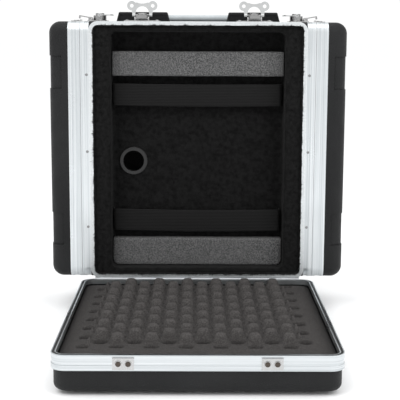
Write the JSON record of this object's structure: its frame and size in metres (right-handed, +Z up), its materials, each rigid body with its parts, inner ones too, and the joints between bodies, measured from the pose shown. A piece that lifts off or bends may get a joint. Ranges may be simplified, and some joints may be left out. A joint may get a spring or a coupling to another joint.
{
  "type": "rack case",
  "caption": "Moulded rack case standing on its hinge side with the lid open flat: padded laptop well, rack bay with end covers, twist latches.",
  "frame": {"origin": "on the floor, under the middle of the whole outline with the lid open", "axes": "+X from the left end cover to the right, +Y from the viewer to the back, +Z up"},
  "size_m": [0.627, 0.727, 0.6628],
  "materials": {
    "moulded_shell": "pebbled moulding",
    "extrusion": "bright anodised, fine draw lines",
    "rivets": "dull",
    "tray_board": "smooth",
    "plush": "short pile",
    "grommet": "satin",
    "pad_foam": "bonded foam",
    "webbing": "ribbed weave",
    "zinc_steel": "zinc plated",
    "latch_plate": "bright nickel",
    "latch_chrome": "polished",
    "grip": "satin",
    "seal": "matte",
    "lid_foam": "open-cell egg-crate foam",
    "wheel_rubber": "matte"
  },
  "bodies": {
    "case": {"body_shell": "moulded_shell", "lid_frame": "extrusion", "left_body_edging": "extrusion", "right_body_edging": "extrusion", "edging_rivets": "rivets", "well_tray": "tray_board", "well_lining": "plush", "cable_grommet": "grommet", "upper_foam_pad": "pad_foam", "lower_foam_pad": "pad_foam", "upper_strap": "webbing", "lower_strap": "webbing", "left_lower_rack_rail": "zinc_steel", "left_upper_rack_rail": "zinc_steel", "right_lower_rack_rail": "zinc_steel", "right_upper_rack_rail": "zinc_steel", "body_hinge_leaf": "zinc_steel", "hinge_pin": "zinc_steel", "lid_latch_plates": "latch_plate", "cover_latch_plates": "latch_plate", "handle_brackets": "zinc_steel", "caster_forks": "zinc_steel", "caster_axles": "zinc_steel"},
    "lid": {"lid_shell": "moulded_shell", "lid_edging": "extrusion", "lid_seal": "seal", "lid_foam": "lid_foam", "lid_hinge_leaf": "zinc_steel", "lid_catches": "latch_plate"},
    "left_cover": {"left_cover_shell": "moulded_shell", "left_cover_edging": "extrusion", "left_cover_catches": "latch_plate"},
    "right_cover": {"right_cover_shell": "moulded_shell", "right_cover_edging": "extrusion", "right_cover_catches": "latch_plate"},
    "handle": {"handle_bail": "zinc_steel", "handle_grip": "grip"},
    "left_lid_rotor": {"left_lid_latch_rotor": "latch_chrome"},
    "left_lid_key": {"left_lid_latch_key": "latch_chrome"},
    "left_lid_hook": {"left_lid_latch_hook": "latch_chrome"},
    "right_lid_rotor": {"right_lid_latch_rotor": "latch_chrome"},
    "right_lid_key": {"right_lid_latch_key": "latch_chrome"},
    "right_lid_hook": {"right_lid_latch_hook": "latch_chrome"},
    "left_top_rotor": {"left_top_latch_rotor": "latch_chrome"},
    "left_top_key": {"left_top_latch_key": "latch_chrome"},
    "left_top_hook": {"left_top_latch_hook": "latch_chrome"},
    "left_bottom_rotor": {"left_bottom_latch_rotor": "latch_chrome"},
    "left_bottom_key": {"left_bottom_latch_key": "latch_chrome"},
    "left_bottom_hook": {"left_bottom_latch_hook": "latch_chrome"},
    "right_top_rotor": {"right_top_latch_rotor": "latch_chrome"},
    "right_top_key": {"right_top_latch_key": "latch_chrome"},
    "right_top_hook": {"right_top_latch_hook": "latch_chrome"},
    "right_bottom_rotor": {"right_bottom_latch_rotor": "latch_chrome"},
    "right_bottom_key": {"right_bottom_latch_key": "latch_chrome"},
    "right_bottom_hook": {"right_bottom_latch_hook": "latch_chrome"},
    "left_front_wheel": {"left_front_wheel": "wheel_rubber"},
    "left_rear_wheel": {"left_rear_wheel": "wheel_rubber"},
    "right_front_wheel": {"right_front_wheel": "wheel_rubber"},
    "right_rear_wheel": {"right_rear_wheel": "wheel_rubber"}
  },
  "joints": [
    {"name": "lid_hinge", "type": "hinge", "parent": "case", "child": "lid", "pos_m": [0, 0.18735, 0.072], "axis": [-1, 0, 0], "range_deg": [0, 90]},
    {"name": "left_cover_slide", "type": "slide", "parent": "case", "child": "left_cover", "axis": [-1, 0, 0], "range_m": [0, 0.12]},
    {"name": "right_cover_slide", "type": "slide", "parent": "case", "child": "right_cover", "axis": [1, 0, 0], "range_m": [0, 0.12]},
    {"name": "handle_swing", "type": "hinge", "parent": "case", "child": "handle", "pos_m": [0, 0.30915, 0.6285], "axis": [1, 0, 0], "range_deg": [0, 90]},
    {"name": "left_lid_latch_turn", "type": "hinge", "parent": "case", "child": "left_lid_rotor", "pos_m": [-0.118, 0.22385, 0.6205], "axis": [0, 0, 1], "range_deg": [0, 180]},
    {"name": "left_lid_key_fold", "type": "hinge", "parent": "left_lid_rotor", "child": "left_lid_key", "pos_m": [-0.118, 0.22385, 0.634], "axis": [-1, 0, 0], "range_deg": [0, 90]},
    {"name": "left_lid_hook_pull", "type": "hinge", "parent": "case", "child": "left_lid_hook", "pos_m": [-0.118, 0.20385, 0.626], "axis": [1, 0, 0], "range_deg": [0, 9]},
    {"name": "right_lid_latch_turn", "type": "hinge", "parent": "case", "child": "right_lid_rotor", "pos_m": [0.118, 0.22385, 0.6205], "axis": [0, 0, 1], "range_deg": [0, 180]},
    {"name": "right_lid_key_fold", "type": "hinge", "parent": "right_lid_rotor", "child": "right_lid_key", "pos_m": [0.118, 0.22385, 0.634], "axis": [-1, 0, 0], "range_deg": [0, 90]},
    {"name": "right_lid_hook_pull", "type": "hinge", "parent": "case", "child": "right_lid_hook", "pos_m": [0.118, 0.20385, 0.626], "axis": [1, 0, 0], "range_deg": [0, 9]},
    {"name": "left_top_latch_turn", "type": "hinge", "parent": "case", "child": "left_top_rotor", "pos_m": [-0.2116, 0.27515, 0.6205], "axis": [0, 0, 1], "range_deg": [0, 180]},
    {"name": "left_top_key_fold", "type": "hinge", "parent": "left_top_rotor", "child": "left_top_key", "pos_m": [-0.2116, 0.27515, 0.634], "axis": [0, -1, 0], "range_deg": [0, 90]},
    {"name": "left_top_hook_pull", "type": "hinge", "parent": "case", "child": "left_top_hook", "pos_m": [-0.2316, 0.27515, 0.626], "axis": [0, -1, 0], "range_deg": [0, 9]},
    {"name": "left_bottom_latch_turn", "type": "hinge", "parent": "case", "child": "left_bottom_rotor", "pos_m": [-0.2116, 0.27515, 0.0745], "axis": [0, 0, -1], "range_deg": [0, 180]},
    {"name": "left_bottom_key_fold", "type": "hinge", "parent": "left_bottom_rotor", "child": "left_bottom_key", "pos_m": [-0.2116, 0.27515, 0.061], "axis": [0, 1, 0], "range_deg": [0, 90]},
    {"name": "left_bottom_hook_pull", "type": "hinge", "parent": "case", "child": "left_bottom_hook", "pos_m": [-0.2316, 0.27515, 0.069], "axis": [0, 1, 0], "range_deg": [0, 9]},
    {"name": "right_top_latch_turn", "type": "hinge", "parent": "case", "child": "right_top_rotor", "pos_m": [0.2116, 0.27515, 0.6205], "axis": [0, 0, 1], "range_deg": [0, 180]},
    {"name": "right_top_key_fold", "type": "hinge", "parent": "right_top_rotor", "child": "right_top_key", "pos_m": [0.2116, 0.27515, 0.634], "axis": [0, 1, 0], "range_deg": [0, 90]},
    {"name": "right_top_hook_pull", "type": "hinge", "parent": "case", "child": "right_top_hook", "pos_m": [0.2316, 0.27515, 0.626], "axis": [0, 1, 0], "range_deg": [0, 9]},
    {"name": "right_bottom_latch_turn", "type": "hinge", "parent": "case", "child": "right_bottom_rotor", "pos_m": [0.2116, 0.27515, 0.0745], "axis": [0, 0, -1], "range_deg": [0, 180]},
    {"name": "right_bottom_key_fold", "type": "hinge", "parent": "right_bottom_rotor", "child": "right_bottom_key", "pos_m": [0.2116, 0.27515, 0.061], "axis": [0, -1, 0], "range_deg": [0, 90]},
    {"name": "right_bottom_hook_pull", "type": "hinge", "parent": "case", "child": "right_bottom_hook", "pos_m": [0.2316, 0.27515, 0.069], "axis": [0, -1, 0], "range_deg": [0, 9]},
    {"name": "left_front_wheel_spin", "type": "hinge", "parent": "case", "child": "left_front_wheel", "pos_m": [-0.14, 0.23515, 0.025], "axis": [0, 1, 0], "continuous": true},
    {"name": "left_rear_wheel_spin", "type": "hinge", "parent": "case", "child": "left_rear_wheel", "pos_m": [-0.14, 0.32715, 0.025], "axis": [0, 1, 0], "continuous": true},
    {"name": "right_front_wheel_spin", "type": "hinge", "parent": "case", "child": "right_front_wheel", "pos_m": [0.14, 0.23515, 0.025], "axis": [0, 1, 0], "continuous": true},
    {"name": "right_rear_wheel_spin", "type": "hinge", "parent": "case", "child": "right_rear_wheel", "pos_m": [0.14, 0.32715, 0.025], "axis": [0, 1, 0], "continuous": true}
  ],
  "couplings": [
    {"joint": "left_lid_hook_pull", "follows": "left_lid_latch_turn", "ratio": 0.05},
    {"joint": "right_lid_hook_pull", "follows": "right_lid_latch_turn", "ratio": 0.05},
    {"joint": "left_top_hook_pull", "follows": "left_top_latch_turn", "ratio": 0.05},
    {"joint": "left_bottom_hook_pull", "follows": "left_bottom_latch_turn", "ratio": 0.05},
    {"joint": "right_top_hook_pull", "follows": "right_top_latch_turn", "ratio": 0.05},
    {"joint": "right_bottom_hook_pull", "follows": "right_bottom_latch_turn", "ratio": 0.05}
  ]
}
